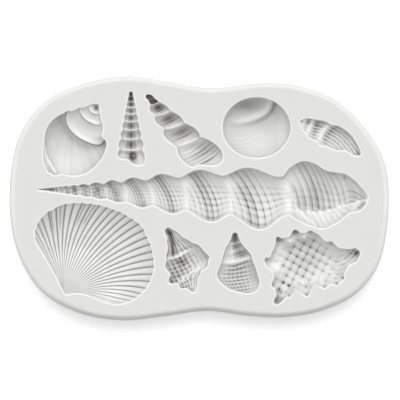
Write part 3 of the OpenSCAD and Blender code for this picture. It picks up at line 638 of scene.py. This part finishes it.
# Painted shade fills the furrows and lies near the beak, painted highlights lie on the ribs, and fine dark
# streaks run near the rim.
by_rim = np.clip((way - 0.74) / 0.26, 0, 1)
streaks = 0.32 * thread(place * 3, 0.22) * by_rim
tone = 0.66 * furrow * ribbed * (1 - 0.1 * by_rim) + streaks
tone = tone - 0.38 * ribbed * (1 - furrow) * (1 - 0.8 * by_rim) + 0.18 * (1 - ribbed)
tone = tone - 0.11 * np.clip(way * 3 - 1.2, 0, 1)
carve_strip(flat, depth, tone)

# The drill shell
# The hollow of a knobbly drill shell: ribs fan from its tip, and a net of cords covers the body whorl.
# Two ridges of silicone part the body whorl from the spire above it and the canal below it.
drill_long, drill_wide, drill_deep = 21.8, 14.0, 5.5
drill_place, drill_turn = (-0.082, -0.121), -69
drill_rib_gap, drill_rib_slope, drill_knot_gap = 1.45, (0.88, 0.48), 1.3
drill_shares = [
    (0, 0.02, 0, -0.06, 1), (0.015, 0.07, 0.012, -0.14, 1), (0.035, 0.11, 0.03, -0.185, 1),
    (0.08, 0.22, 0.07, -0.195, 1), (0.13, 0.335, 0.13, -0.18, 0.9),
    (0.21, 0.44, 0.2, -0.28, 1), (0.26, 0.6, 0.26, -0.31, 1), (0.34, 0.78, 0.32, -0.4, 0.95),
    (0.38, 0.96, 0.37, -0.53, 1), (0.45, 1.06, 0.43, -0.58, 0.95), (0.53, 1.15, 0.51, -0.74, 1),
    (0.61, 1.25, 0.58, -0.7, 1), (0.66, 1.13, 0.62, -0.66, 1), (0.72, 1.02, 0.66, -0.67, 1),
    (0.76, 0.67, 0.72, -0.83, 1), (0.79, 0.6, 0.77, -0.77, 1), (0.82, 0.47, 0.79, -0.57, 1),
    (0.85, 0.38, 0.815, -0.455, 1), (0.89, 0.33, 0.865, -0.455, 1), (0.925, 0.27, 0.893, -0.39, 1),
    (0.955, 0.22, 0.905, -0.22, 1), (0.985, 0.15, 0.95, -0.1, 1), (1, 0.07, 0.985, -0.05, 1)]
drill_upper_ridge = ((165, 260), (172, 258.5), (178, 256.7), (184, 253.5), (190, 250), (197, 246))
drill_lower_ridge = ((172, 286), (177.2, 283.5), (185.6, 276.6), (196.3, 269), (206, 264))
drill_spire_furrow = ((170.5, 234), (172.3, 244), (174, 254.5))
drill_rib_start = (182, 262)
# Places with more shade or less, their sizes in mm and their darkness.
drill_spots = (
    ((168, 263), 1.5, -0.3), ((176, 242), 1.5, 0.2), ((190, 277), 1.5, 0.2), ((168.5, 231), 1.5, 0.7),
    ((181, 261), 1, 0.25), ((184, 264), 1, 0.25), ((207.5, 257), 1, 0.25), ((170.5, 283), 1, 0.25),
    ((181.5, 287.5), 1, 0.25), ((193, 291.5), 1, 0.25), ((206.5, 266), 1, 0.25))
rows = through(drill_shares, steps=6)
flat, depth, side, wall = strip_grid(rows, drill_long, drill_wide, drill_deep, bow=0.1, across=46)
flat = set_down(flat, drill_place, drill_turn)
upper = beside(flat, *drill_upper_ridge)[0]
lower = beside(flat, *drill_lower_ridge)[0]
# The body whorl lies between two ridges, and its ribs have a slope of their own.
body = (upper < 0) & (lower > 0)
uneven = mottle(flat, 1.6)
slant = (flat - spot(drill_rib_start)[0]) @ drill_rib_slope / drill_rib_gap + 0.08 * uneven
ribs = np.where(body, thread(slant, 0.22), thread(side * 3.2 + 0.08 * uneven, 0.2))
knots = thread(upper / drill_knot_gap + 0.5 + 0.15 * uneven, 0.2)
fade = np.clip(0.9 - side, 0.15, 1)
ridges = hump(upper, 0.6) * fade + 0.7 * hump(lower, 0.7)
netted = (upper < 0) * np.clip(0.75 - 0.6 * side, 0.35, 1)
depth = depth + (0.3 * ribs + 0.2 * knots * netted - 0.7 * ridges) * wall
# Painted shade fills the ribs' furrows, the knots, the spire's furrow and the lower body; painted highlights
# lie on both ridges, between the spire's ribs and along one rim.
tone = (0.5 + 0.15 * uneven) * ribs + (0.2 * knots + 0.5 * knots * ribs) * netted - 0.6 * ridges + 0.04
tone = tone - 0.3 * thread(side * 3.2 + 0.5, 0.2) * np.clip(side + 0.7, 0, 1) - 0.35 * hump(side - 0.85, 0.45)
tone = tone + 0.7 * hump(beside(flat, *drill_spire_furrow)[0], 0.8) * (upper > 0.2)
tone = tone + 0.2 * np.clip(0.4 - side, 0, 1) * (upper < -0.5) * (lower > 0)
for place, size, dark in drill_spots:
    tone = tone + dark * patch(flat, place, size)
carve_strip(flat, depth, tone * wall ** 0.5)

# The top shell
# The hollow of a cone-shaped top shell with a small smooth tip and close cords round its base.
# The cords were rows of beads, so the silicone keeps them as rows of short dents, which get painted shade.
top_long, top_wide, top_deep = 18.9, 13.2, 5.5
top_place, top_turn = (0.094, -0.142), -86.6
top_shares = [
    (0, 0.03, 0, -0.04, 1), (0.012, 0.1, 0.012, -0.1, 1), (0.04, 0.13, 0.04, -0.14, 1),
    (0.1, 0.17, 0.1, -0.2, 1), (0.17, 0.25, 0.165, -0.31, 0.9),
    (0.25, 0.41, 0.24, -0.46, 1), (0.33, 0.59, 0.31, -0.55, 1), (0.4, 0.72, 0.39, -0.64, 1),
    (0.46, 0.74, 0.465, -0.7, 0.95), (0.57, 0.84, 0.56, -0.82, 1), (0.675, 0.93, 0.65, -0.94, 1),
    (0.75, 0.97, 0.71, -0.96, 1), (0.83, 1.02, 0.78, -0.86, 1), (0.92, 0.96, 0.865, -0.63, 1),
    (0.99, 0.8, 0.935, -0.35, 1), (1.015, 0.55, 0.985, 0.05, 1)]
top_seam = ((219, 261.5), (222.3, 262.9), (232.3, 263.6), (241.5, 260.6), (251.4, 256.7), (255, 254))
top_cap = ((227, 242), (230.8, 242.4), (234.2, 243.2), (238, 242), (241, 240))
top_fourth_cord = ((216, 276.5), (223, 278), (232, 278), (241, 277), (252, 275), (259, 272.5))
top_streak = ((231.5, 243.5), (232, 253), (232.5, 264.5))
top_spots = ((237, 246.5), (242.5, 254))
# Cords on the spire, as their distance above the seam in mm and the strength of their painted shade.
top_spire_cords = ((0.7, 0.3), (1.45, 0.5), (2.3, 0.8), (2.8, 0.5), (4.5, 0.8), (5.2, 0.8))
rows = through(top_shares, steps=9)
flat, depth, side, wall = strip_grid(rows, top_long, top_wide, top_deep, bow=0.1, across=46)
flat = set_down(flat, top_place, top_turn)
seam_gap = beside(flat, *top_seam)[0]
cap_gap = beside(flat, *top_cap)[0]
base_gap = beside(flat, *top_fourth_cord)[0]
# Four cords share the base between the seam and the fourth cord's path, and even ones follow below it.
share = -seam_gap / (np.maximum(base_gap, 0) - seam_gap + 1e-6)
cord = np.interp(share, (0, 0.2, 0.48, 0.75, 1), (0.3, 1, 2, 3, 4))
cord = np.where(base_gap > 0, cord, 4 - base_gap / 1.05)
upper = sum(dark * hump(seam_gap - up, 0.22) for up, dark in top_spire_cords)
rounds = np.where(seam_gap < 0, thread(cord + 0.06 * mottle(flat, 2), 0.26), upper) * (cap_gap < 0)
dashes = 0.85 + 0.45 * np.cos(2 * np.pi * side * 4.5) + 0.25 * mottle(flat, 1)
ridges = hump(seam_gap, 0.7) + 0.3 * hump(cap_gap + 0.3, 0.5)
depth = depth + (0.2 * rounds * dashes - 0.6 * ridges) * wall
# Painted shade fills the dashes, the tip's cap and two spots; painted highlights lie on the ridges, on a
# streak down the spire and along one rim.
centre = np.clip(0.35 + 0.13 * seam_gap, -0.2, 0.3)
middle = np.clip(hump(side - centre, 0.75) + 0.1 + 0.4 * (seam_gap > 0), 0, 1)
tone = 0.9 * rounds * dashes * middle - 0.02 - 0.4 * ridges + 0.05 * (seam_gap < 0)
tone = tone + (0.12 * hump(side - 0.25, 0.5) - 0.35 * hump(side + 0.75, 0.5)) * (seam_gap > 0.3)
streak, run = beside(flat, *top_streak)
tone = tone - 0.6 * hump(streak, 0.3) * hump(run - 0.5, 0.5)
tone = tone - 0.5 * hump(side + 0.95, 0.35) * (seam_gap < 0.6) * (base_gap > 0)
for place in top_spots:
    tone = tone + 0.4 * patch(flat, place, 1.2, (0.7, 1))
tone = np.minimum(tone, 0.45 + 0.3 * tone)
cap = 1 / (1 + np.exp(-5 * (cap_gap + 0.1)))
tone = tone * (1 - cap) + (0.7 + 0.15 * hump(side, 0.6) + 0.08 * np.clip(cap_gap, 0, 2)) * cap
carve_strip(flat, depth, tone * wall ** 0.5)

# The murex
# The hollow of a spined murex, lip down and canal to the right, under a net of knobs and pits.
# Silicone that ran in between the spines gives the rim its bays; bands of painted highlight lie beside them.
murex_deep = 6.0
murex_rim = ((276, 240), (276.5, 237.5), (278.5, 237), (281.5, 238.5), (285.5, 238), (288.5, 237.5),
             (290.5, 236), (292, 233), (293.5, 230.5), (295.5, 230), (298, 231), (300, 233), (303, 233.5),
             (306.5, 233), (309, 231), (311.5, 231), (315, 233), (318, 234.5), (321, 237.5), (324.5, 241),
             (327.5, 242), (331, 241.5), (333.5, 243.5), (336.5, 246.5), (339, 248.5), (344, 249),
             (349, 249.5), (352, 249), (355, 248.5), (357.5, 249.5), (359, 251), (360, 253.5), (359, 256),
             (357.5, 258.5), (356.5, 261), (353, 263), (348, 265.5), (346, 269.5), (344, 273),
             (343.5, 275.5), (344, 278.5), (341.5, 280.5), (338.5, 283), (337, 285), (334.5, 284),
             (332, 283.5), (329, 284), (327, 286), (324.5, 288), (322, 287), (318, 286), (315, 284),
             (313, 285), (311.5, 288), (310, 292), (308.5, 295), (306.5, 296), (304, 294.5), (301, 292.5),
             (299, 291.5), (297, 288.5), (295.5, 286.5), (294, 289.5), (292.5, 293), (291, 295.5),
             (289, 297), (286.5, 296.5), (284.5, 298.5), (282, 301), (279.5, 303), (276.5, 304.5),
             (274.5, 303.5), (274, 301), (275.5, 298), (276.5, 295.5), (276, 292), (275.5, 288.5),
             (273, 287.5), (272, 285), (272.5, 282), (274, 279), (274, 275.5), (274.5, 272), (272, 269.5),
             (269.5, 268), (267, 265.5), (265, 262), (264.5, 260), (266, 258), (268.5, 258), (271, 256),
             (272, 252.5), (274, 249), (275, 246), (276, 243))
murex_hub, murex_middle = (302, 265), (305, 254)
murex_bays = ((289.5, 241.5), (304.5, 237))
# The net of pits: one knot's place, and the steps from knot to knot along its two directions, in pixels.
net_knot, net_steps = (307.1, 253.9), ((6.45, 3.6), (-3.5, 6.45))
murex_canal = ((316, 255), (326, 259.5), (337, 262), (346, 258), (354, 250), (359, 246))
murex_canal_edge = ((334, 244), (340, 249), (347, 250.5), (354, 250))
# Bands of painted highlight: half width in mm, strength and path. The deep ends between spines get painted
# shade.
murex_highlight_bands = (
    (1.2, 1.0, ((283, 247), (279.5, 251), (277.5, 256.5), (275.5, 265.5), (277.5, 271))),
    (1.0, 1.4, ((287, 241), (290, 242), (294, 239))),
    (0.9, 0.9, ((300.5, 236), (305.5, 236.5), (309, 234.5))),
    (1.3, 0.55, ((321, 241), (329, 246), (336, 251.5), (344, 253))),
    (0.8, 0.5, ((267, 262), (272, 268), (276, 274))),
    (0.7, 0.4, ((296, 289), (297, 283), (304, 281))),
    (0.8, 0.4, ((312, 282), (316, 278), (322, 279))))
murex_dark_tips = (
    ((277.5, 300.5), 1.6), ((278.5, 290), 0.6), ((281, 292.5), 0.6), ((266.5, 259.5), 0.7),
    ((272.5, 284.5), 0.5), ((277.5, 239.5), 1.1), ((283.5, 241), 0.6), ((295.5, 232), 1.3),
    ((310, 232.5), 0.8), ((331, 243.5), 0.9), ((357.5, 253.5), 1.3), ((337, 284), 0.7),
    ((324.5, 287), 0.6), ((306.7, 294.5), 0.7), ((343, 278.5), 0.6), ((289, 295.5), 0.5),
    ((284, 283), 0.5), ((288.5, 285.5), 0.5))
rim = through(spot(*murex_rim)[::-1], 3, closed=True)
hub = spot(murex_hub)[0]
flat = hub + np.linspace(0.03, 1, 31)[:, None, None] ** 0.8 * (rim - hub)
gap = np.min([np.linalg.norm(flat - p, axis=-1) for p in rim], 0)
inside = np.clip(gap / 1.2, 0, 1)
depth = murex_deep * np.sqrt(1 - (1 - np.clip(gap / 5.1, 0, 1)) ** 2)
for bay in murex_bays:
    depth = depth * (1 - 0.6 * patch(flat, bay, 1.5))
net = (flat - spot(net_knot)[0]) @ np.linalg.inv(spot(*net_steps) - spot((0, 0)))
off = net - np.round(net)
lines = np.maximum(hump(off[..., 0], 0.11), hump(off[..., 1], 0.11))
pits = hump(np.hypot(off[..., 0], off[..., 1]), 0.15)
uneven = mottle(flat, 2.2)
# The net fades towards the canal, and folds run along it instead.
canal, run = beside(flat, *murex_canal)
off_canal = np.clip(1 - run * 1.3, 0.2, 1)
pillow = (np.cos(2 * np.pi * net[..., 0]) + np.cos(2 * np.pi * net[..., 1])) * 0.25
depth = depth + (0.35 * pits + 0.12 * lines + 0.25 * pillow) * inside * off_canal
# Painted shade fills the pits, the deep middle, the folds and the canal's edge; painted highlights lie by the
# rim, on the knobs and along the canal.
tone = (0.65 * pits + 0.16 * lines - 0.1 * (1 - lines) + 0.06 * uneven) * off_canal * inside
tone = tone + 0.27 * patch(flat, murex_middle, 5, (0.8, 0.8)) - 0.2 * hump(gap, 1.2)
folds = thread(canal / 1.3 + 0.12 * uneven, 0.2) * np.clip(run * 2.2 - 0.4, 0, 1)
depth = depth + 0.2 * folds * inside
tone = tone + 0.65 * folds * (0.7 + 0.6 * run) - 0.25 * np.clip(run * 2 - 0.4, 0, 1)
tone = tone + 0.3 * hump(beside(flat, *murex_canal_edge)[0], 0.6)
for wide, pale, path in murex_highlight_bands:
    tone = tone - pale * hump(beside(flat, *path)[0], wide) * (1 + 0.5 * mottle(flat, 1))
for place, size in murex_dark_tips:
    tone = tone + 0.75 * patch(flat, place, size)
carve_fan(flat, depth, tone)

# The casting
# All the surfaces above are one skin of silicone: the flat upper face joins the slab's edge to each lip.
# The real one leaves its tray in one piece, so it is one mesh, which takes the place of the CAD's solid.
points = np.array(vertices)
loops = [[Vector((*points[k][:2], 0)) for k in loop] for loop in open_loops]
numbers = np.concatenate(open_loops)
faces.extend(numbers[list(face)].tolist() for face in tessellate_polygon(loops))
mesh = bpy.data.meshes.new("mould_casting")
mesh.from_pydata((points * MM).tolist(), [], faces)
mesh.validate()
mesh.attributes.new("tone", "FLOAT", "POINT").data.foreach_set("value", tones)
casting = bpy.data.objects.new("mould_casting", mesh)
bpy.context.collection.objects.link(casting)
bpy.context.view_layer.objects.active = casting
casting.select_set(True)
bpy.ops.object.mode_set(mode="EDIT")
bpy.ops.mesh.select_all(action="SELECT")
bpy.ops.mesh.normals_make_consistent(inside=False)
bpy.ops.object.mode_set(mode="OBJECT")
mesh.shade_smooth()


def linear(colour):
    """A written sRGB colour as the linear colour that shaders take."""
    parts = [int(colour[k:k + 2], 16) / 255 for k in (1, 3, 5)]
    return tuple(p / 12.92 if p <= 0.04045 else ((p + 0.055) / 1.055) ** 2.4 for p in parts) + (1,)


def add(material, kind, settings={}, links={}):
    """Adds one node with its settings, and links its inputs to the given sockets."""
    node = material.node_tree.nodes.new("ShaderNode" + kind)
    for name, value in settings.items():
        if isinstance(name, int) or name in node.inputs:
            node.inputs[name].default_value = value
        else:
            setattr(node, name, value)
    for name, socket in links.items():
        material.node_tree.links.new(socket, node.inputs[name])
    return node


def empty_material(name):
    """A material whose nodes are still to be added."""
    material = bpy.data.materials.new(name)
    material.use_nodes = True
    material.node_tree.nodes.clear()
    return material


# Platinum-cured silicone, cast: a soft, faintly translucent off-white with a satin skin.
# Its tone mixes in painted highlights on lips and ridges, and painted shade in furrows and hollows.
plain_silicone, painted_highlight, painted_shade = linear("#d6d6d5"), linear("#f2f2f1"), linear("#4a4642")
silicone_ior, satin = 1.41, 0.5
light_depth = 0.5 * MM
silicone = empty_material("cast_silicone")
tone = add(silicone, "Attribute", {"attribute_name": "tone"})
pale = add(silicone, "Math", {"operation": "MULTIPLY", 1: -1}, {0: tone.outputs["Fac"]})
shade = add(silicone, "Mix", {"data_type": "RGBA", 6: plain_silicone, 7: painted_shade},
            {0: tone.outputs["Fac"]})
paint = add(silicone, "Mix", {"data_type": "RGBA", 7: painted_highlight},
            {0: pale.outputs[0], 6: shade.outputs[2]})
body = add(silicone, "BsdfPrincipled", {
    "Roughness": satin, "IOR": silicone_ior, "Subsurface Weight": 0.2, "Subsurface Radius": (1, 1, 1),
    "Subsurface Scale": light_depth}, {"Base Color": paint.outputs[2]})
add(silicone, "OutputMaterial", {}, {"Surface": body.outputs[0]})
mesh.materials.append(silicone)
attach(casting, "root")
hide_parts("mould_body")

# The studio
# A plain white table, seen straight from above, with one broad soft light at the head of the slab.
# The table's top lies a hair above the underside, so that the two faces never share one plane.
table_high, table_half = 0.02 * MM, 2
corner_signs = ((-1, -1), (1, -1), (1, 1), (-1, 1))
table_corners = [(x * table_half, y * table_half, table_high) for x, y in corner_signs]
floor_mesh = bpy.data.meshes.new("floor")
floor_mesh.from_pydata(table_corners, [], [(0, 1, 2, 3)])
floor = bpy.data.objects.new("floor", floor_mesh)
bpy.context.collection.objects.link(floor)
# Matt white paper covers it: the camera sees it close to pure white, and it keeps the slab's soft shadow.
paper_white, lamp_white, paper_glow = linear("#f0f0f0"), linear("#ffffff"), 0.38
paper = empty_material("white_paper")
diffuse = add(paper, "BsdfDiffuse", {"Color": paper_white})
seen = add(paper, "LightPath")
glow = add(paper, "Emission", {"Color": lamp_white})
strength = add(paper, "Math", {"operation": "MULTIPLY", 1: paper_glow}, {0: seen.outputs["Is Camera Ray"]})
paper.node_tree.links.new(strength.outputs[0], glow.inputs["Strength"])
both = add(paper, "AddShader", {}, {0: diffuse.outputs[0], 1: glow.outputs[0]})
add(paper, "OutputMaterial", {}, {"Surface": both.outputs[0]})
floor_mesh.materials.append(paper)

room_strength = 0.5
world = bpy.data.worlds.new("room")
bpy.context.scene.world = world
world.use_nodes = True
world.node_tree.nodes["Background"].inputs["Color"].default_value = lamp_white
world.node_tree.nodes["Background"].inputs["Strength"].default_value = room_strength

softbox_strength, softbox_spread, softbox_tilt = 2.2, 45, -27
key_data = bpy.data.lights.new("softbox", "SUN")
key_data.energy = softbox_strength
key_data.angle = np.radians(softbox_spread)
key = bpy.data.objects.new("softbox", key_data)
key.rotation_euler = (np.radians(softbox_tilt), 0, 0)
bpy.context.collection.objects.link(key)

# The camera hangs over the photograph's own middle, which lies a little beside the slab's.
photo_pixels = 400
photo_middle_off = (0.75, -1.75)
camera_high = 2.5
frame_wide = photo_pixels / slab_pixels * slab_long * MM
lens = bpy.data.cameras.new("camera")
lens.sensor_width = 36
lens.lens = lens.sensor_width * (camera_high - slab_thick * MM) / frame_wide
lens.clip_start, lens.clip_end = 0.1, 10
camera = bpy.data.objects.new("camera", lens)
camera.location = (*(off / photo_pixels * frame_wide for off in photo_middle_off), camera_high)
bpy.context.collection.objects.link(camera)
bpy.context.scene.camera = camera
bpy.context.scene.view_settings.view_transform = "Standard"
